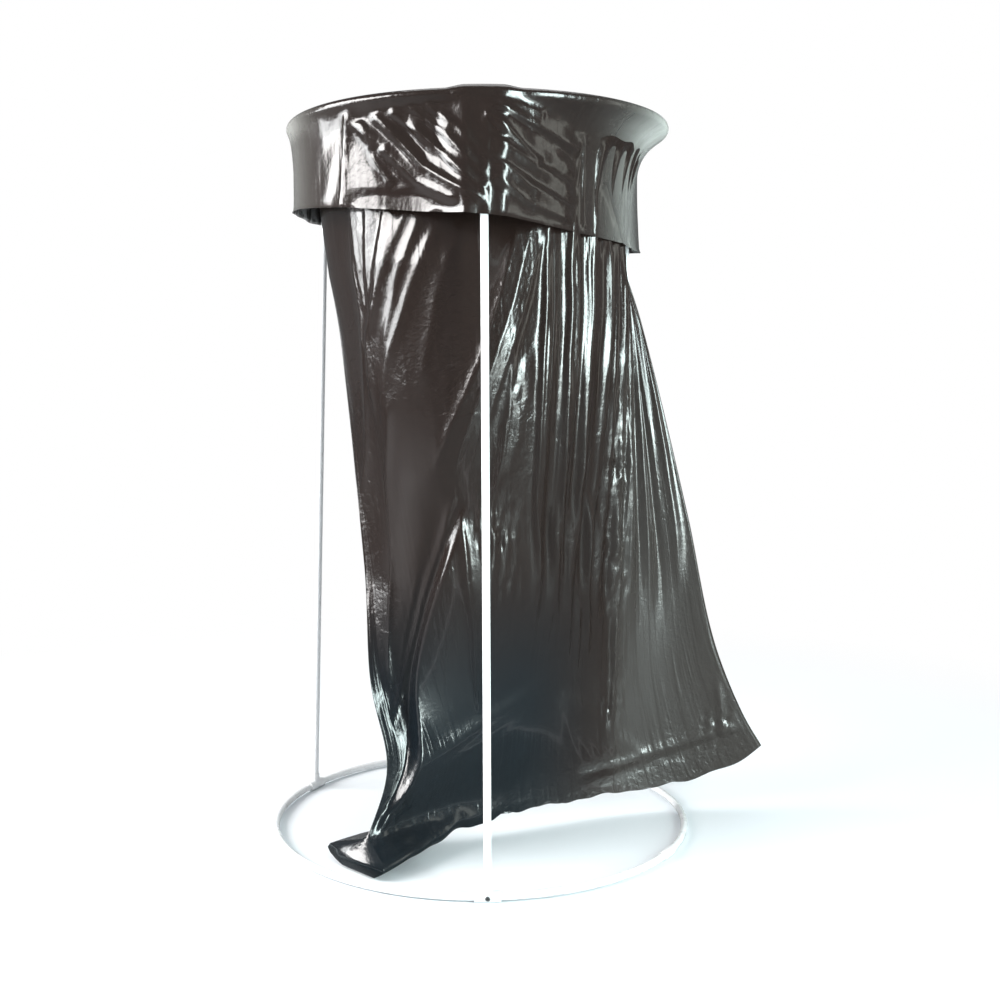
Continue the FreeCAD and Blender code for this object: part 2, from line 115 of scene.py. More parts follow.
class Finishes(bpy.types.PropertyGroup):
    coat: color_setting("Coating", "Colour of the coated wire", 0.86, 0.87, 0.88)
    moulding: color_setting("Moulding", "Colour of the clips", 0.83, 0.84, 0.85)
    metal: color_setting("Screw metal", "Colour of the screws", 0.33, 0.33, 0.34)
    film: color_setting("Film", "Colour of the bag", 0.0155, 0.0098, 0.0080)
    # Painted cool reflection of the floor, laid on the bag towards its foot and left side.
    film_cool_reflection: color_setting("Film, painted cool reflection", "Colour painted on the bag towards its foot for its cool reflection of the floor", 0.007, 0.0105, 0.0135)
    # Painted pale sheen, laid on the film at the ring's two ends and down the right panel.
    film_sheen: color_setting("Film, painted sheen", "Colour of the pale sheen painted on the bag", 0.69, 0.70, 0.66)
    floor: color_setting("Floor", "Colour of the floor", 0.83, 0.87, 0.90)


def sizes():
    return bpy.context.scene.stand_sizes


def sizes_of_film():
    return bpy.context.scene.film_sizes


def finishes():
    return bpy.context.scene.stand_finishes


# Small helpers

def deselect():
    if bpy.context.object and bpy.context.object.mode != "OBJECT":
        bpy.ops.object.mode_set(mode="OBJECT")
    bpy.ops.object.select_all(action="DESELECT")


def made(name):
    """The primitive that was just added, renamed."""
    piece = bpy.context.object
    piece.name = name
    piece.data.name = name
    return piece


def choose(piece):
    """Selects one piece alone."""
    deselect()
    piece.select_set(True)
    bpy.context.view_layer.objects.active = piece


def settle(piece):
    """Moves the object's place into its mesh."""
    choose(piece)
    bpy.ops.object.transform_apply(location=True, rotation=True, scale=True)


def apply_modifier(piece, kind, **values):
    choose(piece)
    modifier = piece.modifiers.new(kind.title(), kind)
    for key, value in values.items():
        setattr(modifier, key, value)
    bpy.ops.object.modifier_apply(modifier=modifier.name)


def soften_edges(piece, width, degrees):
    """Rounds the edges that turn by more than an angle."""
    apply_modifier(piece, "BEVEL", width=width, segments=3, limit_method="ANGLE", angle_limit=math.radians(degrees))


def smooth_by_angle(piece, degrees):
    choose(piece)
    bpy.ops.object.shade_smooth_by_angle(angle=math.radians(degrees))


def finish_piece(piece, slot, material, *nodes):
    piece.data.materials.clear()
    piece.data.materials.append(material)
    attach(piece, "root")
    if nodes:
        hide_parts(*nodes)


def around(azimuth, radius, height):
    """Point at an azimuth in radians, 0 at the front and positive towards the right."""
    return Vector((radius * math.sin(azimuth), -radius * math.cos(azimuth), height))


def copied(piece, name):
    """A copy of a settled piece, with its own mesh."""
    choose(piece)
    bpy.ops.object.duplicate(linked=False)
    return made(name)


def at_each_leg(piece, start, end):
    """A piece made at the front leg, and a copy of it turned to each other leg, by node name."""
    pieces = {start + LEGS[0]: piece}
    for index, leg in enumerate(LEGS[1:], 1):
        copy = copied(piece, start + leg + end)
        copy.rotation_euler.z = 2 * math.pi * index / len(LEGS)
        settle(copy)
        pieces[start + leg] = copy
    return pieces


def turned(z_axis, x_hint):
    """Rotation whose Z runs along one direction and whose X is nearest to another."""
    z = z_axis.normalized()
    y = z.cross(x_hint).normalized()
    x = y.cross(z)
    return Matrix((x, y, z)).transposed().to_euler()


# Node groups and materials

def new_group(name, inputs, outputs):
    """A node group with its sockets, and its input and output nodes."""
    group = bpy.data.node_groups.new(name, "ShaderNodeTree")
    for label, kind, value in inputs:
        socket = group.interface.new_socket(label, in_out="INPUT", socket_type="NodeSocket" + kind)
        if value is not None:
            socket.default_value = value
    for label, kind in outputs:
        group.interface.new_socket(label, in_out="OUTPUT", socket_type="NodeSocket" + kind)
    return group, group.nodes.new("NodeGroupInput"), group.nodes.new("NodeGroupOutput")


def set_inputs(a_node, values):
    for key, value in values.items():
        a_node.inputs[key].default_value = value


def node(tree, kind, values=None, **settings):
    made_node = tree.nodes.new("ShaderNode" + kind)
    for key, value in settings.items():
        setattr(made_node, key, value)
    set_inputs(made_node, values or {})
    return made_node


def wire_up(tree, *links):
    """Links nodes; a link names a node, its output, the next node and its input."""
    for start, out, end, into in links:
        tree.links.new(start.outputs[out], end.inputs[into])


def combined(tree, operation, first, second):
    """Two outputs combined by a Math node."""
    result = node(tree, "Math", operation=operation)
    tree.links.new(first, result.inputs[0])
    tree.links.new(second, result.inputs[1])
    return result.outputs[0]


def color_mix(tree, first, second):
    """A mix of two colours, the first of which is linked where it is None."""
    mix = node(tree, "Mix", data_type="RGBA")
    if first is not None:
        mix.inputs["A"].default_value = first
    mix.inputs["B"].default_value = second
    return mix


def darker(color, share):
    return [channel * share for channel in color[:3]] + [1]


def surface_mottle():
    """Faint mottling of a smooth surface: a mask, and a height for a bump."""
    group, start, end = new_group("Surface mottle", [("Scale", "Float", 40.0), ("Fineness", "Float", 400.0)],
                                  [("Mask", "Float"), ("Height", "Float")])
    place = node(group, "TexCoord")
    broad = node(group, "TexNoise", {"Detail": 3.0, "Roughness": 0.55})
    fine = node(group, "TexNoise", {"Detail": 2.0, "Roughness": 0.5})
    wire_up(group, (place, "Object", broad, "Vector"), (place, "Object", fine, "Vector"),
            (start, "Scale", broad, "Scale"), (start, "Fineness", fine, "Scale"),
            (broad, "Fac", end, "Mask"), (fine, "Fac", end, "Height"))
    return group


def crease_lines(group, vector, scale, detail):
    """Thin crests where a noise passes its middle value."""
    noise = node(group, "TexNoise", {"Scale": scale, "Detail": detail, "Roughness": 0.55})
    centre = node(group, "Math", {1: 0.5}, operation="SUBTRACT")
    size = node(group, "Math", operation="ABSOLUTE")
    cut = node(group, "MapRange", {"From Min": 0.0, "From Max": 0.16, "To Min": 1.0, "To Max": 0.0},
               interpolation_type="SMOOTHERSTEP")
    group.links.new(vector, noise.inputs["Vector"])
    wire_up(group, (noise, "Fac", centre, 0), (centre, 0, size, 0), (size, 0, cut, "Value"))
    return cut.outputs[0]


def film_creases():
    """Fine creases of thin film: long ones down the drape, short crumples in patches, and a fine grain."""
    group, start, end = new_group(
        "Film creases",
        [("Drape", "Vector", None), ("Long", "Float", 1.0), ("Short", "Float", 1.0), ("Grain", "Float", 0.3)],
        [("Height", "Float"), ("Patches", "Float")])
    place = node(group, "TexCoord")
    stretch = node(group, "Mapping", {"Scale": (1.0, 1.0, 0.05)})
    warp = node(group, "TexNoise", {"Scale": 9.0, "Detail": 3.0})
    bend = node(group, "VectorMath", {"Scale": 0.05}, operation="SCALE")
    bent = node(group, "VectorMath", operation="ADD")
    patches = node(group, "TexNoise", {"Scale": 7.0, "Detail": 2.0})
    patch_cut = node(group, "MapRange", {"From Min": 0.40, "From Max": 0.66})
    grain = node(group, "TexNoise", {"Scale": 260.0, "Detail": 3.0})
    wire_up(group, (start, "Drape", stretch, "Vector"), (place, "Object", warp, "Vector"), (warp, "Color", bend, 0),
            (place, "Object", bent, 0), (bend, 0, bent, 1), (place, "Object", patches, "Vector"),
            (patches, "Fac", patch_cut, "Value"), (place, "Object", grain, "Vector"), (patch_cut, 0, end, "Patches"))
    long = combined(group, "MULTIPLY", crease_lines(group, stretch.outputs[0], 46.0, 3.0), start.outputs["Long"])
    short = combined(group, "MULTIPLY", crease_lines(group, bent.outputs[0], 38.0, 4.0), start.outputs["Short"])
    short = combined(group, "MULTIPLY", short, patch_cut.outputs[0])
    grained = combined(group, "MULTIPLY", grain.outputs["Fac"], start.outputs["Grain"])
    height = combined(group, "ADD", combined(group, "ADD", long, short), grained)
    group.links.new(height, end.inputs["Height"])
    return group


def group_node(tree, group, **values):
    placed = tree.nodes.new("ShaderNodeGroup")
    placed.node_tree = group
    set_inputs(placed, values)
    return placed


def new_material(name):
    material = bpy.data.materials.new(name)
    material.use_nodes = True
    return material, material.node_tree, material.node_tree.nodes["Principled BSDF"]


def shared_group(name, maker):
    return bpy.data.node_groups.get(name) or maker()


def mottled_material(name, color, low_rough, high_rough, bump, metallic=0.0, coat=0.0):
    """Smooth hard surface with faint mottling of its tone, gloss and level."""
    found = bpy.data.materials.get(name)
    if found:
        return found
    material, tree, shader = new_material(name)
    mottle = group_node(tree, shared_group("Surface mottle", surface_mottle), Scale=30.0, Fineness=700.0)
    tone = color_mix(tree, darker(color, 0.93), color)
    rough = node(tree, "MapRange", {"From Min": 0.3, "From Max": 0.7, "To Min": low_rough, "To Max": high_rough})
    level = node(tree, "Bump", {"Strength": 0.35, "Distance": bump})
    set_inputs(shader, {"Metallic": metallic, "Coat Weight": coat, "Coat Roughness": 0.12})
    wire_up(tree, (mottle, "Mask", tone, "Factor"), (tone, "Result", shader, "Base Color"),
            (mottle, "Mask", rough, "Value"), (rough, 0, shader, "Roughness"),
            (mottle, "Height", level, "Height"), (level, 0, shader, "Normal"))
    return material


def coated_wire():
    return mottled_material("Coated wire", finishes().coat, 0.22, 0.34, 0.0002, coat=0.5)


def clip_moulding():
    return mottled_material("Clip moulding", finishes().moulding, 0.30, 0.42, 0.0003)


def screw_metal():
    return mottled_material("Screw metal", finishes().metal, 0.28, 0.45, 0.0002, metallic=1.0)


def film_material():
    """Glossy black film, brownish above, with a painted cool reflection of the floor towards its foot, and a painted
    pale sheen at the ring's two ends and down the right panel.
    """
    color = finishes()
    material, tree, shader = new_material("Bag film")
    place = node(tree, "TexCoord")
    split = node(tree, "SeparateXYZ")
    # The film is painted bluish low down and towards the left: a painted cool reflection of the pale floor over the
    # brownish film.
    down = node(tree, "MapRange", {"From Min": 0.34, "From Max": 0.14}, interpolation_type="SMOOTHSTEP")
    side = node(tree, "MapRange", {"From Min": 0.16, "From Max": 0.04}, interpolation_type="SMOOTHSTEP")
    tint = color_mix(tree, color.film, color.film_cool_reflection)
    pale = color_mix(tree, None, color.film_sheen)
    # The "stretch" attribute carries the mask of the painted pale sheen.
    sheen = node(tree, "Attribute", attribute_name="stretch")
    drape = node(tree, "Attribute", attribute_name="drape")
    fine = group_node(tree, shared_group("Film creases", film_creases), Long=0.42, Short=0.45, Grain=0.32)
    level = node(tree, "Bump", {"Strength": 0.5, "Distance": sizes_of_film().crinkle})
    rough = node(tree, "MapRange", {"To Min": 0.18, "To Max": 0.26})
    set_inputs(shader, {"IOR": 1.52, "Coat Weight": 0.6, "Coat Roughness": 0.10})
    wire_up(tree, (place, "Object", split, 0), (split, "Z", down, "Value"), (split, "X", side, "Value"),
            (tint, "Result", pale, "A"), (sheen, "Fac", pale, "Factor"), (pale, "Result", shader, "Base Color"),
            (drape, "Vector", fine, "Drape"), (fine, "Height", level, "Height"), (level, 0, shader, "Normal"),
            (fine, "Patches", rough, "Value"), (rough, 0, shader, "Roughness"))
    tree.links.new(combined(tree, "MULTIPLY", down.outputs[0], side.outputs[0]), tint.inputs["Factor"])
    return material


# Rings, sleeves, legs, clips and screws

class STAND_OT_rings(bpy.types.Operator):
    """Bends the two rings from round coated wire"""
    bl_idname = "stand.rings"
    bl_label = "Rings"

    def execute(self, context):
        s = sizes()
        for name, (radius, height) in RINGS.items():
            deselect()
            bpy.ops.mesh.primitive_torus_add(
                major_radius=radius, minor_radius=WIRE, location=(0, 0, height),
                major_segments=s.ring_segments, minor_segments=s.wire_segments)
            ring = made(name + "_wire")
            settle(ring)
            smooth_by_angle(ring, 60)
            finish_piece(ring, "coated_wire", coated_wire(), name)
        return {"FINISHED"}


class STAND_OT_legs(bpy.types.Operator):
    """Coats the three straight legs, which keep the frame's own shape"""
    bl_idname = "stand.legs"
    bl_label = "Legs"

    def execute(self, context):
        for name in LEGS:
            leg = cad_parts["leg_" + name]
            leg.data.materials.clear()
            leg.data.materials.append(coated_wire())
        return {"FINISHED"}


def straight_bow(length):
    """How far a ring's wire curves away from a straight piece of a length."""
    return TOP_RADIUS * (1 - math.cos(length / 2 / TOP_RADIUS))


def tube_along(name, centre, along, facing, length, bore, outside, edge):
    """Straight round tube with a bore and softened ends."""
    deselect()
    turn = turned(along, facing)
    bpy.ops.mesh.primitive_cylinder_add(vertices=64, radius=outside, depth=length, location=centre, rotation=turn)
    tube = made(name)
    drill(tube, centre, along, facing, bore, length * 1.5)
    soften_edges(tube, edge, 50)
    return tube


def drill(piece, centre, along, facing, radius, depth):
    """Cuts a round hole through a piece."""
    deselect()
    bpy.ops.mesh.primitive_cylinder_add(vertices=48, radius=radius, depth=depth, location=centre,
                                        rotation=turned(along, facing))
    cut_away(piece, bpy.context.object)


def cut_away(piece, cutter):
    apply_modifier(piece, "BOOLEAN", operation="DIFFERENCE", object=cutter, solver="EXACT")
    bpy.data.objects.remove(cutter, do_unlink=True)


def join_to(piece, other):
    apply_modifier(piece, "BOOLEAN", operation="UNION", object=other, solver="EXACT")
    bpy.data.objects.remove(other, do_unlink=True)


class STAND_OT_sleeves(bpy.types.Operator):
    """Makes the short sleeve over the butt joint of each ring"""
    bl_idname = "stand.sleeves"
    bl_label = "Sleeves"

    def execute(self, context):
        s = sizes()
        low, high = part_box("top_ring_sleeve")
        bow = straight_bow(s.sleeve_length)
        sleeve = tube_along("top_ring_joint_sleeve", Vector(), Vector((1, 0, 0)), Vector((0, -1, 0)), s.sleeve_length,
                            WIRE + bow / 2 + PLAY, (high[2] - low[2]) / 2, s.sleeve_round)
        settle(sleeve)
        smooth_by_angle(sleeve, 40)
        other = copied(sleeve, "base_ring_joint_sleeve")
        for piece, ring in ((sleeve, "top_ring"), (other, "base_ring")):
            radius, height = RINGS[ring]
            low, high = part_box(ring + "_sleeve")
            azimuth = math.atan2(low[0] + high[0], -low[1] - high[1])
            piece.rotation_euler.z = azimuth
            piece.location = around(azimuth, radius - bow / 2, height)
            settle(piece)
            finish_piece(piece, "moulding", clip_moulding(), ring + "_sleeve")
        return {"FINISHED"}


class STAND_OT_clips(bpy.types.Operator):
    """Moulds the six clips: a saddle round the ring's wire with a tapered socket for the leg"""
    bl_idname = "stand.clips"
    bl_label = "Clips"

    def execute(self, context):
        azimuth = sizes().first_leg
        foot = around(azimuth, BASE_RADIUS, BASE_HEIGHT)
        top = around(azimuth, TOP_RADIUS, TOP_HEIGHT)
        along = (top - foot).normalized()
        for start, place, leg_way in (("foot_clip_", foot, along), ("top_clip_", top, -along)):
            clip = self.clip(start + LEGS[0] + "_moulding", azimuth, place, leg_way)
            for node_name, piece in at_each_leg(clip, start, "_moulding").items():
                finish_piece(piece, "moulding", clip_moulding(), node_name)
        return {"FINISHED"}

    def clip(self, name, azimuth, place, along):
        s = sizes()
        outward = around(azimuth, 1, 0)
        across = around(azimuth + math.pi / 2, 1, 0)
        bow = straight_bow(s.clip_length)
        bore = WIRE + PLAY + bow / 2
        saddle = bore + s.clip_wall
        centre = place - outward * bow / 2
        deselect()
        bpy.ops.mesh.primitive_cylinder_add(vertices=64, radius=saddle, depth=s.clip_length, location=centre,
                                            rotation=turned(across, outward))
        body = made(name)
        deselect()
        bpy.ops.mesh.primitive_cone_add(vertices=64, radius1=s.socket_root, radius2=s.socket_mouth,
                                        depth=s.socket_height, location=place + along * s.socket_height / 2,
                                        rotation=turned(along, outward))
        join_to(body, bpy.context.object)
        if along.z > 0:
            deselect()
            bpy.ops.mesh.primitive_cube_add(size=0.06, location=(place.x, place.y, -0.03))
            cut_away(body, bpy.context.object)
        soften_edges(body, s.edge_round, 35)
        drill(body, centre, across, outward, bore, s.clip_length * 1.5)
        drill(body, place + along * (s.socket_height + 0.006), along, outward, WIRE + PLAY, s.socket_height * 2)
        settle(body)
        smooth_by_angle(body, 40)
        return body


class STAND_OT_screws(bpy.types.Operator):
    """Turns the six slotted screws that pin the clips to their rings"""
    bl_idname = "stand.screws"
    bl_label = "Screws"

    def execute(self, context):
        s = sizes()
        seat = WIRE + PLAY + s.clip_wall
        for start, ring in (("foot_screw_", "base_ring"), ("top_screw_", "top_ring")):
            radius, height = RINGS[ring]
            head = self.screw(start + LEGS[0] + "_head", s.first_leg, radius + seat, height)
            for node_name, piece in at_each_leg(head, start, "_head").items():
                finish_piece(piece, "screw_metal", screw_metal(), node_name)
        return {"FINISHED"}

    def screw(self, name, azimuth, seat, height):
        s = sizes()
        outward = around(azimuth, 1, 0)
        deselect()
        bpy.ops.mesh.primitive_cylinder_add(vertices=48, radius=s.screw_head, depth=s.screw_rise,
                                            location=around(azimuth, seat + s.screw_rise / 2, height),
                                            rotation=turned(outward, Vector((0, 0, 1))))
        head = made(name)
        soften_edges(head, 0.4 * s.screw_rise, 50)
        deselect()
        bpy.ops.mesh.primitive_cube_add(size=1, location=around(azimuth, seat + s.screw_rise, height),
                                        rotation=turned(outward, Vector((1, 0, 1))))
        cutter = bpy.context.object
        cutter.scale = (s.slot_width, s.screw_head * 2.4, s.slot_depth)
        cut_away(head, cutter)
        settle(head)
        smooth_by_angle(head, 40)
        return head


# The film. It has the same drape as the solid bag, in millimetres and degrees, with the finer folds that the solid
# leaves out. A place runs across the film, from 0 to 1 over the front and on to 2 over the back. A share runs down it,
# from 0 at the top ring to 1 at the bottom seam or the cuff's hem.

LEG_BERTH = 5.0
RING, TOP = TOP_RADIUS / MM, TOP_HEIGHT / MM
LEG_SPLAY, RING_SPACING = (BASE_RADIUS - TOP_RADIUS) / MM, (TOP_HEIGHT - BASE_HEIGHT) / MM
WAIST, SLACK, OUTSIDE_LEG, CUFF_DRAW = 38.0, 2.0, 6.15, 0.16
CUFF_DROP, DROP_RIGHT, DROP_FRONT = 108.0, 20.0, 8.0
WRAP, OVER_SLEEVE, OVER_CLIP = 5.2, 1.42, 2.97
SLEEVE_AZIMUTH, SLEEVE_REACH, SLEEVE_FADE, CLIP_REACH, CLIP_FADE = 158.0, 4.6, 7.0, 4.8, 6.0
NECK, NECK_SHIFT, NECK_DEPTH, BODY_SHIFT = RING - 41.0, -9.0, 0.06, 9.0
FLAT_START, FRONT_DEPTH, BACK_DEPTH, DEPTH_REACHED = 0.20, 1.20, 0.80, 0.45
BODY_POWER, FULLNESS = 3.5, 0.75
LEFT_CREASE, RIGHT_CREASE, CREASE_CROWDING = -104.0, 88.0, 1.9
FOOT = (-38.0, BASE_RADIUS / MM - 26.0, 3.0)
TIP = (95.0, BASE_RADIUS / MM + 102.0, 76.0)
SEAM_BOW, SEAM_SAG, SEAM_DRIFT = 62.0, 26.0, 0.10
HEEL_BULGE, HEEL_SHARE, HEEL_SPREAD = 22.0, 0.87, 0.08
COLUMN_SKEW, SOLID_COLUMNS = 1.25, 38

PLEATS, FIRST_PLEAT, PLEAT_TOP, PLEAT_END, PLEAT_HEIGHT, PLEAT_WIDTH = 8, 20, 0.05, 0.78, 3.5, 7.0
SKIRT_TOP, SKIRT_END, SKIRT_HEIGHT, SKIRT_LIP, SKIRT_SPREAD = (0.30, 0.50), (0.02, 0.93), 24.0, 9.0, 120.0
HOLLOW_TOP, HOLLOW_END, HOLLOW_DEPTH, HOLLOW_WIDTH = (0.13, 0.08), (0.09, 0.62), 12.0, 34.0
DRAG_TOP, DRAG_END, DRAG_HEIGHT, DRAG_WIDTH = (0.46, 0.10), (0.25, 0.48), 5.0, 26.0
FAN_FOLDS, FAN_STEP, FAN_GAP, FAN_END, FAN_HEIGHT, FAN_WIDTH = 4, 11.0, 5.0, 34.0, 3.5, 11.0

VALLEY_END, VALLEY_RISE, VALLEY_LEFT, VALLEY_LEAN, VALLEY_WIDTH = 562.0, 125.0, -122.0, 22.0, 66.0
FACETS, FACET_SLOPE, FACET_EDGE = 3, 0.24, 0.12
FINE_LOW, FINE_HIGH, CUFF_LOW = -6.0, 7.0, -1.2

# Fine folds as seen from the front: the points (across, up) of a path, the height and width of the fold, how sharp its
# crest is (1 has straight sides, 2 is round), and the share of the path over which each end fades.
BODY_FOLDS = (
    (((-147, 715), (-130, 561), (-133, 395), (-128, 250)), 3.5, 4),
    (((-76, 705), (-122, 566), (-118, 470)), 5, 7),
    (((-30, 700), (-70, 610), (-99, 531), (-110, 450)), 2.2, 6, 1.5),
    (((-52, 700), (-84, 620), (-104, 540)), 1.7, 5, 1.5),
    (((-10, 690), (-44, 600), (-60, 500)), 1.4, 6, 1.5),
    (((-92, 520), (-104, 420), (-96, 300)), 2.5, 6, 1.5),
    (((54, 560), (40, 470), (22, 400)), 2, 9, 2.0),
    (((38, 600), (30, 480), (12, 380), (8, 250)), 3, 5),
    (((-24, 404), (-60, 290), (-96, 145)), 3.5, 3.5, 1.0, 0.05),
    (((-34, 400), (-76, 250), (-104, 130)), -3, 9, 2.0),
    (((-20, 392), (-10, 272), (-8, 150)), 3.5, 3, 1.0, 0.1),
    (((-62, 330), (-82, 240), (-92, 170)), 2, 3),
    (((-97, 340), (-99, 190)), 3, 2.5),
    (((152, 700), (168, 505), (172, 394), (160, 250), (156, 90)), 4, 4, 1.0, 0.1),
    (((176, 640), (205, 500), (226, 380), (240, 260)), 3, 7, 1.5),
    (((140, 409), (150, 250), (158, 100)), -3, 8, 2.0),
    (((110, 48), (168, 60), (292, 98), (330, 108)), 3, 6, 1.5, 0.08),
    (((110, 36), (168, 46), (292, 84), (330, 94)), -3, 7, 2.0, 0.08),
    (((285, 165), (298, 84)), 3, 3))
CUFF_FOLDS = (
    (((-128, 800), (-134, 740), (-139, 680)), 3.5, 4, 1.0, 0.08),
    (((-117, 779), (-104, 742), (-84, 712)), 3, 4, 1.0, 0.06),
    (((-104, 785), (-52, 727), (9, 688)), 4.5, 5, 1.0, 0.06),
    (((-88, 787), (-41, 747), (9, 697)), 4.5, 4.5, 1.0, 0.06),
    (((-72, 790), (-30, 757), (9, 712)), 4, 4, 1.0, 0.06),
    (((-54, 791), (-20, 764), (9, 730)), 3, 3.5, 1.0, 0.06),
    (((-96, 752), (-60, 714), (-20, 692)), 3, 4, 1.0, 0.06),
    (((8.5, 806), (8.5, 676)), 3, 3, 1.0, 0.04),
    (((14, 794), (40, 786), (66, 778)), 3, 4, 1.0, 0.05),
    (((9, 785), (60, 768), (104, 750)), 4.5, 5, 1.0, 0.05),
    (((9, 775), (38, 752), (62, 732)), 4, 4, 1.0, 0.05),
    (((9, 754), (60, 728), (98, 712)), 3, 4, 1.0, 0.05),
    (((9, 736), (50, 710), (98, 690)), 4, 5, 1.0, 0.05),
    (((14, 716), (50, 694), (90, 682)), 3, 4, 1.0, 0.05),
    (((108, 770), (109, 670)), 3, 4, 1.0, 0.1),
    (((131, 724), (144, 690), (156, 655)), 4, 3, 1.0, 0.05))
DIAGONALS = ((5.5, 5.5), (2.5, 3), (6, 5.5), (2.5, 3.5), (4, 5))
# Crumpled patches: strength, middle and spread across, middle and spread up, and lean.
CRUMPLES = ((0.35, -118, 26, 640, 60, 0), (0.45, 36, 22, 450, 120, 0.12), (0.8, 20, 24, 330, 60, 0),
            (1.2, 158, 14, 330, 240, 0), (1.0, -118, 30, 40, 40, 0), (1.0, 300, 26, 100, 30, 0))
# Where a pale sheen is painted on the film at the ring's two ends: azimuth, spread and strength.
SHEEN_ENDS = ((83.0, 22.0, 1.0), (-84.0, 19.0, 0.72))
# Painted pale sheen: its level on the cuff below the ring, the rows over which it fades to that, and its strength on
# the right panel.
SHEEN_CUFF, SHEEN_ROWS, SHEEN_PANEL = 0.42, 12, 0.030


def smooth(x):
    x = np.clip(x, 0, 1)
    return x * x * (3 - 2 * x)


def turn_between(a, b):
    return (a - b + 180.0) % 360.0 - 180.0


def polar(azimuth, radius, height):
    angle = np.radians(azimuth)
    return np.stack([radius * np.sin(angle), -radius * np.cos(angle), height + 0 * angle], -1)


def waves(x, count, seed, low, high):
    """Even, seeded mix of waves."""
    rng = np.random.default_rng(seed)
    total = 0 * x
    for _ in range(count):
        total = total + np.sin(x * rng.uniform(low, high) + rng.uniform(0, 2 * np.pi)) / count ** 0.5
    return total


def off_leg(azimuth, index):
    return np.abs(turn_between(azimuth, FIRST_LEG + 360 / len(LEGS) * index))


def wrap_radius(azimuth):
    """Radius of the film round the top ring's wire, over the sleeve and over each clip."""
    off_sleeve = np.abs(turn_between(azimuth, SLEEVE_AZIMUTH))
    rise = OVER_SLEEVE * (1 - smooth((off_sleeve - SLEEVE_REACH) / SLEEVE_FADE))
    for index in range(len(LEGS)):
        rise = np.maximum(rise, OVER_CLIP * (1 - smooth((off_leg(azimuth, index) - CLIP_REACH) / CLIP_FADE)))
    return WRAP + rise


def belt_radius(azimuth, drop):
    """The cuff is drawn in below the ring like a belt round the bag and the legs."""
    tight = smooth(0.5 + 0.5 * np.sin(np.radians(azimuth)))
    belt = RING - SLACK - (WAIST - SLACK) * tight
    outside_leg = RING + LEG_SPLAY * drop / RING_SPACING + OUTSIDE_LEG
    touch = np.arccos(np.minimum(1.0, belt / outside_leg))
    radius = belt
    for index in range(len(LEGS)):
        away = np.radians(np.maximum(0.0, off_leg(azimuth, index) - LEG_BERTH))
        held = belt / np.cos(np.clip(touch - away, 0, None))
        radius = np.where(away < touch, np.maximum(radius, held), radius)
    return radius


def hem_drop(azimuth):
    angle = np.radians(azimuth)
    return CUFF_DROP + DROP_RIGHT * np.sin(angle) + DROP_FRONT * np.cos(angle)


def wrap_lean(azimuth):
    inward = RING + wrap_radius(azimuth) - belt_radius(azimuth, 0.0)
    return np.arctan2(np.maximum(0, inward), CUFF_DRAW * hem_drop(azimuth))


def cuff_at(azimuth, share):
    lean = wrap_lean(azimuth)
    reach = wrap_radius(azimuth)
    start = RING + reach * np.cos(lean)
    drop = reach * np.sin(lean) * (1 - share) + share * hem_drop(azimuth)
    drawn = 1 - np.exp(-share / CUFF_DRAW)
    radius = start + (belt_radius(azimuth, drop) - start) * drawn + cuff_main_folds(azimuth, share)
    return polar(azimuth, radius, TOP - drop)


def wrap_at(azimuth, share):
    lean = wrap_lean(azimuth)
    angle = (np.pi + lean) * share - lean
    reach = wrap_radius(azimuth)
    return polar(azimuth, RING + reach * np.cos(angle), TOP + reach * np.sin(angle))


def seam_at(share):
    foot = polar(np.array(FOOT[0]), FOOT[1], FOOT[2])
    tip = polar(np.array(TIP[0]), TIP[1], TIP[2])
    bow = 4 * share * (1 - share)
    sag = share ** 3 * (1 - share) * 4 ** 4 / 3 ** 3
    line = foot + (tip - foot) * share[..., None]
    return line + np.stack([0 * share, SEAM_BOW * bow, -SEAM_SAG * sag], -1)


def film_azimuth(place):
    span = RIGHT_CREASE - LEFT_CREASE
    front = LEFT_CREASE + span * (1 - np.clip(1 - place, 0, 1) ** CREASE_CROWDING)
    return np.where(place <= 1, front, RIGHT_CREASE + (360 - span) * (place - 1))


def seam_share(place):
    near = np.where(place <= 1, place, 2 - place)
    return near - SEAM_DRIFT * np.sin(np.pi * near ** 2)


def body_at(place, share):
    azimuth = film_azimuth(place)
    angle = np.radians(azimuth)
    inside_ring = RING - wrap_radius(azimuth)
    in_neck = 1 - np.exp(-share / NECK_DEPTH)
    neck = NECK * (1 - share ** BODY_POWER)
    radius = inside_ring + (neck - inside_ring) * in_neck
    flat = np.clip((share - FLAT_START) / (1 - FLAT_START), 0, 1)
    depth = np.where(np.cos(angle) > 0, FRONT_DEPTH, BACK_DEPTH)
    depth = 1 + (depth - 1) * smooth(share / DEPTH_REACHED)
    seam = seam_at(seam_share(place))
    heel = HEEL_BULGE * np.exp(-((share - HEEL_SHARE) / HEEL_SPREAD) ** 2) * (1 - seam_share(place)) ** 3
    shift = BODY_SHIFT * smooth((share - 0.1) / 0.2) * (1 - smooth((share - 0.6) / 0.25))
    x = (1 - flat) * (radius * np.sin(angle) + NECK_SHIFT * in_neck) + flat * seam[..., 0] + heel + shift
    y = -(1 - flat) ** FULLNESS * radius * depth * np.cos(angle) + flat * seam[..., 1]
    z = (1 - share) * TOP + share * seam[..., 2]
    return np.stack([x, y, z], -1)


def off_line(across, down, start, end):
    """Share along a line, distance from it, and distance to its right, looking down it."""
    run = (end[0] - start[0], end[1] - start[1])
    step = (across - start[0], down - start[1])
    length = math.hypot(*run)
    share = np.clip((run[0] * step[0] + run[1] * step[1]) / length ** 2, 0, 1)
    away = np.hypot(step[0] - share * run[0], step[1] - share * run[1])
    return share, away, (step[0] * run[1] - step[1] * run[0]) / length


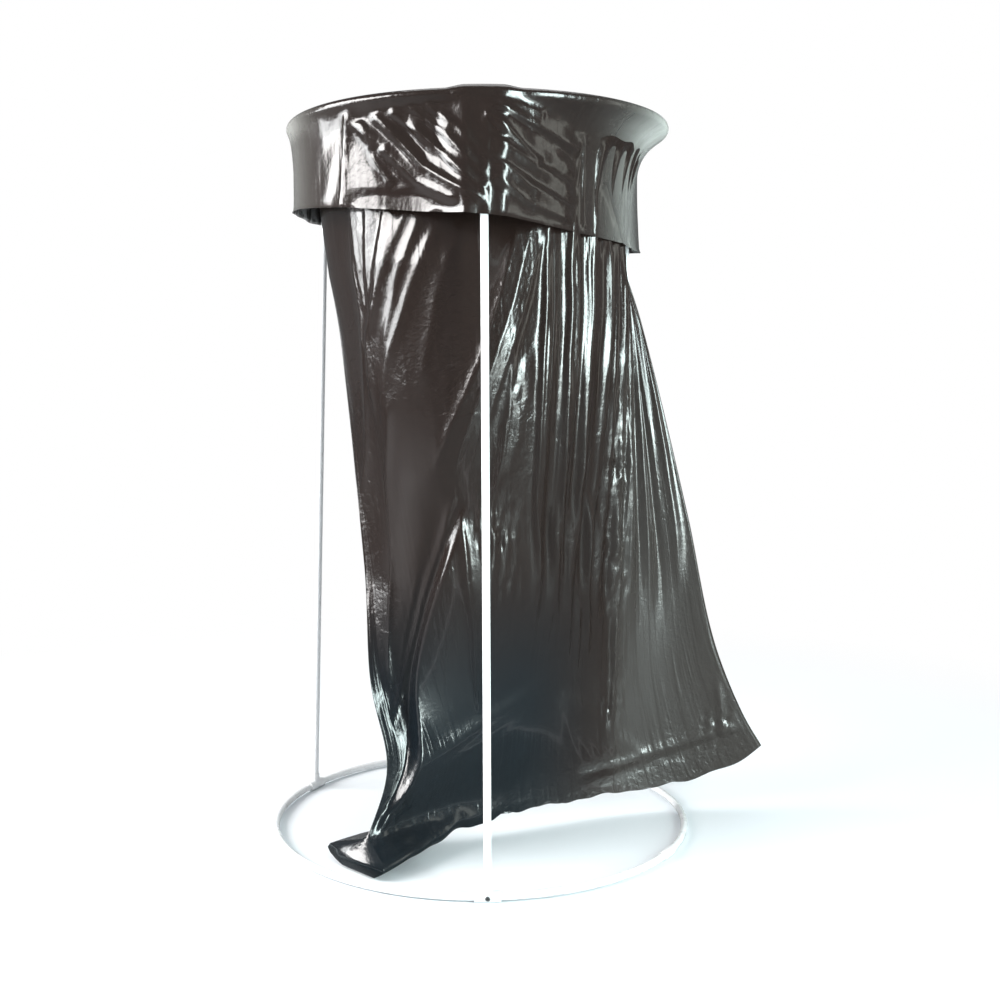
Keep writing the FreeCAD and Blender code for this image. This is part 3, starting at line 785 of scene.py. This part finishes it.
def ridge(across, down, start, end, width):
    return np.exp(-(off_line(across, down, start, end)[1] / width) ** 2)


def pointed_ridge(across, down, start, end, width):
    """A ridge that grows from a point at its start."""
    share, away, _ = off_line(across, down, start, end)
    return np.exp(-(away / (width * (0.35 + 0.65 * smooth(share / 0.5)))) ** 2) * smooth(share / 0.25)


def on_film(place, share):
    return (place - 0.5) * math.pi * NECK, share * TOP


def body_main_folds(place, share):
    """The folds that the solid bag has too: pleats, the skirt over the foot, the hollow and the dragged fold."""
    across, down = on_film(place, share)
    height = 0.0
    for i in range(PLEATS):
        for beside, sign in ((0, 1), (1, -1)):
            at = ((FIRST_PLEAT + 2 * i + beside) / SOLID_COLUMNS) ** COLUMN_SKEW
            height = height + sign * PLEAT_HEIGHT * ridge(
                across, down, on_film(at, PLEAT_TOP), on_film(at, PLEAT_END), PLEAT_WIDTH)
    height = height * (1 - smooth((share - 0.55) / 0.22))
    grown, _, lip = off_line(across, down, on_film(*SKIRT_TOP), on_film(*SKIRT_END))
    height += SKIRT_HEIGHT * smooth(lip / SKIRT_LIP) * np.exp(-np.maximum(0, lip) / SKIRT_SPREAD) * smooth(grown / 0.3)
    hollow = ridge(across, down, on_film(*HOLLOW_TOP), on_film(*HOLLOW_END), HOLLOW_WIDTH)
    height -= HOLLOW_DEPTH * hollow * (1 - 0.6 * smooth((share - 0.46) / 0.2))
    height += DRAG_HEIGHT * ridge(across, down, on_film(*DRAG_TOP), on_film(*DRAG_END), DRAG_WIDTH)
    return height * smooth(share / 0.1) * (1 - smooth((share - 0.86) / 0.12)) * (place <= 1)


def cuff_main_folds(azimuth, share):
    """The creases of the cuff that the solid bag has too, fanned out from the front leg."""
    degree = math.radians(1) * RING
    across = degree * turn_between(azimuth, FIRST_LEG)
    down = CUFF_DROP * share
    height = 0.0
    for i in range(FAN_FOLDS):
        left = (degree * FAN_STEP * (i - FAN_FOLDS), 0.05 * CUFF_DROP)
        height = height + pointed_ridge(across, down, left, (-FAN_GAP * degree, 0.95 * CUFF_DROP), FAN_WIDTH) ** 3
        drop = (0.05 + 0.2 * i) * CUFF_DROP
        right = (FAN_END * degree, drop + 0.3 * CUFF_DROP)
        height = height + pointed_ridge(across, down, right, (FAN_GAP * degree, drop), FAN_WIDTH) ** 3
    return FAN_HEIGHT * height ** (1 / 3) * smooth(share / 0.2)


def fold(x, z, path, height, width, sharp=1.0, soft=0.2):
    """One fold along a path seen from the front."""
    lengths = [math.dist(a, b) for a, b in zip(path, path[1:])]
    nearest, run, passed = np.full(x.shape, 1e9), np.zeros(x.shape), 0.0
    for a, b, length in zip(path, path[1:], lengths):
        share, away, _ = off_line(x, z, a, b)
        closer = away < nearest
        nearest = np.where(closer, away, nearest)
        run = np.where(closer, passed + share * length, run)
        passed += length
    run = run / passed
    return height * np.exp(-(nearest / width) ** sharp) * smooth(run / soft) * smooth((1 - run) / soft)


def all_folds(x, z, table):
    return sum(fold(x, z, *entry) for entry in table)


def lap(x, z, start, end, height, edge, fade):
    """Film that laps over itself: a steep edge on one side of a line, fading away from it."""
    share, _, side = off_line(x, -z, (start[0], -start[1]), (end[0], -end[1]))
    inside = (share > 0) & (share < 1)
    lapped = height * smooth(side / edge) * np.exp(-np.maximum(0, side) / fade)
    return lapped * inside * smooth(4 * share * (1 - share))


def valley_facets(x, z):
    """Flat facets of the left valley, which narrow down to where it ends and catch the window."""
    rise = np.maximum((z - VALLEY_END) / VALLEY_RISE, 0.02)
    left, width = VALLEY_LEFT - VALLEY_LEAN * rise, VALLEY_WIDTH * rise
    across = (x - left) / width
    tooth = across * FACETS % 1
    facet = FACET_SLOPE * width / FACETS * (0.5 - tooth) * smooth((1 - tooth) / FACET_EDGE)
    return facet * smooth(tooth / FACET_EDGE) * (across > 0) * (across < 1) * smooth((z - VALLEY_END) / 30)


def front_folds(x, z):
    """Fine folds of the front of the body: the left valley, the diagonals, the pleats and the foot's fan."""
    x = x + 0.6 * waves(z, 4, 21, 0.02, 0.09)
    h = valley_facets(x, z) + all_folds(x, z, BODY_FOLDS)
    for i, (height, width) in enumerate(DIAGONALS):
        step = 6.5 * i
        h += fold(x, z, [(46 + step, 700), (22 + step, 609), (2 + step, 540), (-52 + 1.5 * step, 415)], height, width)
    rng = np.random.default_rng(11)
    for i in range(13):
        top = 68 + 6.6 * i
        low = 62 + 6.2 * i + rng.uniform(-3, 3)
        foot = rng.uniform(120, 420)
        height = rng.uniform(1.6, 4.2)
        h += fold(x, z, [(top, 720), ((top + low) / 2 + 2, 560), (low, 400), (low + 4, foot)], height,
                  rng.uniform(2.0, 3.6), 1.2, 0.12)
    for i in range(6):
        start = (-114 + 3 * i, 84 - 14 * i)
        h += fold(x, z, [start, (-20 + 8 * i, 132 - 17 * i), (90 - 4 * i, 190 - 12 * i)], 2.8 - 0.25 * i, 9, 2.0, 0.3)
        h += fold(x, z, [(90 + i, 170), (104 + 9 * i, 110), (118 + 18 * i, 60)], 1.5, 6, 2.0, 0.3)
    return h


def crumple(x, z):
    """Small crumples in a few patches."""
    fine = waves(x + 0.6 * z, 6, 31, 0.15, 0.5) * waves(z - 0.3 * x, 6, 32, 0.12, 0.45)
    patches = sum(strength * np.exp(-((x - middle - lean * (z - 500)) / spread) ** 2 - ((z - level) / rise) ** 2)
                  for strength, middle, spread, level, rise, lean in CRUMPLES)
    return 1.7 * fine * np.minimum(patches, 1.2)


def cuff_fine_folds(x, z, azimuth):
    """Fine creases of the cuff, fanned out from where the film is caught on the front leg."""
    front = 1 - smooth((np.abs(azimuth) - 75) / 20)
    z = z + 1.2 * waves(x, 4, 41, 0.03, 0.1)
    return (all_folds(x, z, CUFF_FOLDS) - lap(x, z, (-4, 702), (-134, 716), 4, 18, 200)) * front


def foot_swell(place, share):
    """The rolled corner that lies on the floor."""
    along = seam_share(place) / 0.20
    rise = ((1 - share) * TOP - 9) / 15
    return np.where(place <= 1, 38.0, 62.0) * np.exp(-along ** 2 - rise ** 2)


def normals_of(points):
    """Normals of a grid of points whose columns close on themselves; outward when its rows run up."""
    across = np.roll(points, -1, 1) - np.roll(points, 1, 1)
    normal = np.cross(across, np.gradient(points, axis=0))
    return normal / np.maximum(np.linalg.norm(normal, axis=-1, keepdims=True), 1e-9)


def film_places():
    f = sizes_of_film()
    front = (np.arange(f.front_columns) / f.front_columns) ** 1.12
    return np.concatenate([front, 1 + np.arange(f.back_columns) / f.back_columns])


def film_grid():
    """Rows of points from the bottom seam up the body, over the ring and down the cuff to the hem."""
    f = sizes_of_film()
    places = film_places()
    azimuth = film_azimuth(places)
    steps = np.linspace(0, 1, f.body_rows + 1)[:0:-1]
    steps = 0.8 * steps + 0.2 * 0.5 * (1 - np.cos(np.pi * steps))
    share, place = np.meshgrid(steps, places, indexing="ij")
    body = body_at(place, share)
    x, z = body[..., 0], body[..., 2]
    in_front = smooth((0.5 - np.abs(place - 0.5)) / 0.03) * (place <= 1)
    behind = smooth((0.5 - np.abs(place - 1.5)) / 0.05) * (place > 1)
    fade = smooth(share / 0.1) * (1 - smooth((share - 0.93) / 0.06))
    across = place * 150
    height = body_main_folds(place, share) + foot_swell(place, share)
    height += np.clip(front_folds(x, z) + crumple(x, z), FINE_LOW, FINE_HIGH) * in_front * fade
    height += (1.4 * waves(across + 40 * share, 6, 3, 0.08, 0.5) + 0.5 * crumple(x + 40, z)) * behind * fade
    body = body + normals_of(body) * height[..., None]
    sway = 2.5 * waves(across, 5, 8, 0.1, 0.6) * smooth((share - 0.94) / 0.06)
    body[..., 2] += sway * smooth(place * (2 - place) * 3)

    share, around_wrap = np.meshgrid(np.linspace(1, 0, f.wrap_rows + 1), azimuth, indexing="ij")
    wrap = wrap_at(around_wrap, share)
    share, around_cuff = np.meshgrid(np.linspace(0, 1, f.cuff_rows + 1)[1:], azimuth, indexing="ij")
    cuff = cuff_at(around_cuff, share)
    lift = cuff_fine_folds(cuff[..., 0], cuff[..., 2], turn_between(around_cuff, 0)) * (cuff[..., 1] < 0)
    lift += 0.2 * waves(around_cuff + 14 * share, 6, 5, 0.15, 0.9)
    hem = 1.2 * waves(around_cuff, 5, 9, 0.1, 0.5) * smooth((share - 0.8) / 0.2)
    lift += hem + 1.5 * smooth((share - 0.96) / 0.04)
    cuff = cuff - normals_of(cuff) * (np.maximum(lift, CUFF_LOW) * smooth(share / 0.12))[..., None]
    points = np.concatenate([body, wrap, cuff])
    points[..., 2] = np.maximum(points[..., 2], 1.0)
    return points * MM, places, azimuth


def painted_sheen_share(points, azimuth):
    """How strongly a pale sheen is painted on the film: at the ring's two ends, and a little down the right panel."""
    f = sizes_of_film()
    row = np.arange(points.shape[0])[:, None] - f.body_rows
    upper = (row >= 0) * 1.0
    ring = SHEEN_CUFF + (1 - SHEEN_CUFF) * (1 - smooth((row - f.wrap_rows) / SHEEN_ROWS))
    ends = sum(strength * np.exp(-(turn_between(azimuth, middle) / spread) ** 2)
               for middle, spread, strength in SHEEN_ENDS)
    x, z = points[..., 0] / MM, points[..., 2] / MM
    panel = SHEEN_PANEL * smooth((x - 145) / 25) * smooth((620 - z) / 300) * (1 - upper)
    return np.clip(upper * ring * ends[None, :] + panel, 0, 1)


class STAND_OT_film(bpy.types.Operator):
    """Drapes the bag: a flat grid of film is hung over the top ring"""
    bl_idname = "stand.film"
    bl_label = "Bag film"

    def execute(self, context):
        points, places, azimuth = film_grid()
        # Mask of the painted pale sheen, stored on the film as its "stretch" attribute.
        sheen = painted_sheen_share(points, azimuth)
        turn = np.pi * places[None, :] + 0 * sheen
        drop = np.linspace(0.8, 0, sizes_of_film().body_rows).tolist()
        drop += np.linspace(0, 0.15, points.shape[0] - len(drop)).tolist()
        drape = np.stack([0.2 * np.sin(turn), 0.2 * np.cos(turn), np.array(drop)[:, None] + 0 * turn], -1)
        points, sheen, drape = (np.concatenate([grid, grid[:, :1]], 1) for grid in (points, sheen, drape))
        rows, columns = sheen.shape
        deselect()
        bpy.ops.mesh.primitive_grid_add(x_subdivisions=columns - 1, y_subdivisions=rows - 1, size=1)
        film = made("bin_bag_film")
        mesh = film.data
        if len(mesh.vertices) != rows * columns:
            raise RuntimeError("the film's grid has another size than its points")
        mesh.vertices.foreach_set("co", points.reshape(-1).astype(np.float32))
        mesh.update()
        mesh.attributes.new("stretch", "FLOAT", "POINT").data.foreach_set("value", sheen.reshape(-1).astype(np.float32))
        mesh.attributes.new("drape", "FLOAT_VECTOR", "POINT").data.foreach_set(
            "vector", drape.reshape(-1).astype(np.float32))
        choose(film)
        bpy.ops.object.mode_set(mode="EDIT")
        bpy.ops.mesh.select_all(action="SELECT")
        bpy.ops.mesh.remove_doubles(threshold=0.00005)
        bpy.ops.mesh.normals_make_consistent(inside=False)
        bpy.ops.object.mode_set(mode="OBJECT")
        bpy.ops.object.shade_smooth()
        finish_piece(film, "bag_film", film_material(), "bin_bag")
        return {"FINISHED"}


# Floor, lights and camera

# Lamps: name, place, target, width, height, power and colour.
LAMPS = (
    ("Window left", (-2.21, -0.64, 1.42), (0, 0, 0.75), 2.0, 1.1, 100, (1.0, 0.98, 0.97)),
    ("Card left", (-2.00, -0.14, 0.69), (-0.1, -0.1, 0.66), 1.15, 0.42, 13, (0.97, 0.99, 1.0)),
    ("Strip right", (1.35, -1.60, 0.80), (0, 0, 0.60), 0.55, 1.6, 56, (0.84, 1.0, 0.99)),
    ("Card low right", (0.86, -1.00, 0.03), (0.2, -0.1, 0.75), 0.30, 0.75, 4, (0.90, 1.0, 0.96)),
    ("Strip side", (1.99, -0.25, 0.85), (0, 0, 0.60), 0.35, 1.6, 2.5, (0.95, 1.0, 0.92)),
    ("Overhead", (0.1, 0.3, 2.4), (0, 0, 0.4), 1.4, 1.4, 12, (1.0, 1.0, 1.0)),
)
CAMERA_PLACE, CAMERA_DOWN, CAMERA_ROLL = (0, -1.4414, 0.5173), 5.403, -0.004
SENSOR, FOCAL_SHARE, CAMERA_SHIFT = 36.0, 1.2452, 0.0211


class STAND_OT_studio(bpy.types.Operator):
    """Lays the pale floor and sets the soft lights and the camera"""
    bl_idname = "stand.studio"
    bl_label = "Studio"

    def execute(self, context):
        self.floor()
        self.world()
        for lamp in LAMPS:
            self.lamp(*lamp)
        self.camera()
        scene = context.scene
        scene.view_settings.view_transform = "Standard"
        return {"FINISHED"}

    def floor(self):
        deselect()
        bpy.ops.mesh.primitive_plane_add(size=12, location=(0, 0, 0))
        floor = made("studio_floor")
        settle(floor)
        material, tree, shader = new_material("Studio floor")
        color = finishes().floor
        place = node(tree, "TexCoord")
        length = node(tree, "VectorMath", operation="LENGTH")
        far = node(tree, "MapRange", {"From Min": 0.35, "From Max": 1.3}, interpolation_type="SMOOTHSTEP")
        light_path = node(tree, "LightPath")
        glow = node(tree, "Emission")
        blend = node(tree, "MixShader")
        mottle = group_node(tree, shared_group("Surface mottle", surface_mottle), Scale=3.0, Fineness=60.0)
        tone = color_mix(tree, darker(color, 0.985), color)
        # Seen in reflections, the floor is painted at 0.13 of its colour: a painted darkening of its reflection in the
        # film.
        mirrored = color_mix(tree, None, darker(color, 0.13))
        shader.inputs["Roughness"].default_value = 0.6
        wire_up(tree, (place, "Object", length, 0), (length, "Value", far, "Value"), (mottle, "Mask", tone, "Factor"),
                (tone, "Result", mirrored, "A"), (light_path, "Is Glossy Ray", mirrored, "Factor"),
                (mirrored, "Result", shader, "Base Color"), (shader, 0, blend, 1), (glow, 0, blend, 2),
                (blend, 0, tree.nodes["Material Output"], "Surface"))
        tree.links.new(combined(tree, "MULTIPLY", far.outputs[0], self.seen_directly(tree)), blend.inputs["Fac"])
        floor.data.materials.append(material)

    def seen_directly(self, tree):
        """Whether a ray comes from the camera, straight or through something clear."""
        rays = node(tree, "LightPath").outputs
        return combined(tree, "MAXIMUM", rays["Is Camera Ray"], rays["Is Transmission Ray"])

    def world(self):
        world = bpy.data.worlds.new("Studio light")
        bpy.context.scene.world = world
        world.use_nodes = True
        tree = world.node_tree
        soft = tree.nodes["Background"]
        soft.inputs["Color"].default_value = (0.95, 0.98, 1.0, 1)
        white = node(tree, "Background", {"Color": (1, 1, 1, 1)})
        strength = node(tree, "MapRange", {"To Min": 0.55, "To Max": 0.13})
        light_path = node(tree, "LightPath")
        blend = node(tree, "MixShader")
        wire_up(tree, (light_path, "Is Glossy Ray", strength, "Value"), (strength, 0, soft, "Strength"),
                (soft, 0, blend, 1), (white, 0, blend, 2), (blend, 0, tree.nodes["World Output"], "Surface"))
        tree.links.new(self.seen_directly(tree), blend.inputs["Fac"])

    def lamp(self, name, place, target, width, height, power, color):
        deselect()
        aim = (Vector(target) - Vector(place)).to_track_quat("-Z", "Y").to_euler()
        bpy.ops.object.light_add(type="AREA", location=place, rotation=aim)
        lamp = bpy.context.object
        lamp.name = name
        lamp.data.shape = "RECTANGLE"
        lamp.data.size, lamp.data.size_y = width, height
        lamp.data.energy = power
        lamp.data.color = color

    def camera(self):
        deselect()
        bpy.ops.object.camera_add(location=CAMERA_PLACE)
        camera = bpy.context.object
        camera.name = "Photo view"
        tilt = Matrix.Rotation(math.radians(90 - CAMERA_DOWN), 3, "X") @ Matrix.Rotation(CAMERA_ROLL, 3, "Z")
        camera.rotation_euler = tilt.to_euler()
        camera.data.sensor_width = SENSOR
        camera.data.lens = SENSOR * FOCAL_SHARE
        camera.data.shift_x = CAMERA_SHIFT
        camera.data.clip_start = 0.05
        bpy.context.scene.camera = camera


# Panel and registration

class STAND_PT_panel(bpy.types.Panel):
    """Lists the stand's pieces"""
    bl_idname = "STAND_PT_panel"
    bl_label = "Bin stand"
    bl_space_type = "VIEW_3D"
    bl_region_type = "UI"
    bl_category = "Bin stand"

    def draw(self, context):
        for operator in OPERATORS:
            self.layout.operator(operator.bl_idname)
        for group in (context.scene.stand_sizes, context.scene.film_sizes, context.scene.stand_finishes):
            column = self.layout.column()
            for name in group.__annotations__:
                column.prop(group, name)


OPERATORS = (STAND_OT_rings, STAND_OT_legs, STAND_OT_sleeves, STAND_OT_clips, STAND_OT_screws, STAND_OT_film,
             STAND_OT_studio)
CLASSES = (StandSizes, FilmSizes, Finishes) + OPERATORS + (STAND_PT_panel,)


def register():
    for item in CLASSES:
        bpy.utils.register_class(item)
    bpy.types.Scene.stand_sizes = PointerProperty(type=StandSizes)
    bpy.types.Scene.film_sizes = PointerProperty(type=FilmSizes)
    bpy.types.Scene.stand_finishes = PointerProperty(type=Finishes)


def unregister():
    del bpy.types.Scene.stand_finishes
    del bpy.types.Scene.film_sizes
    del bpy.types.Scene.stand_sizes
    for item in reversed(CLASSES):
        bpy.utils.unregister_class(item)


def main():
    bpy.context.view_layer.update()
    register()
    for operator in OPERATORS:
        getattr(bpy.ops.stand, operator.bl_idname.split(".")[1])()


if __name__ == "__main__":
    main()
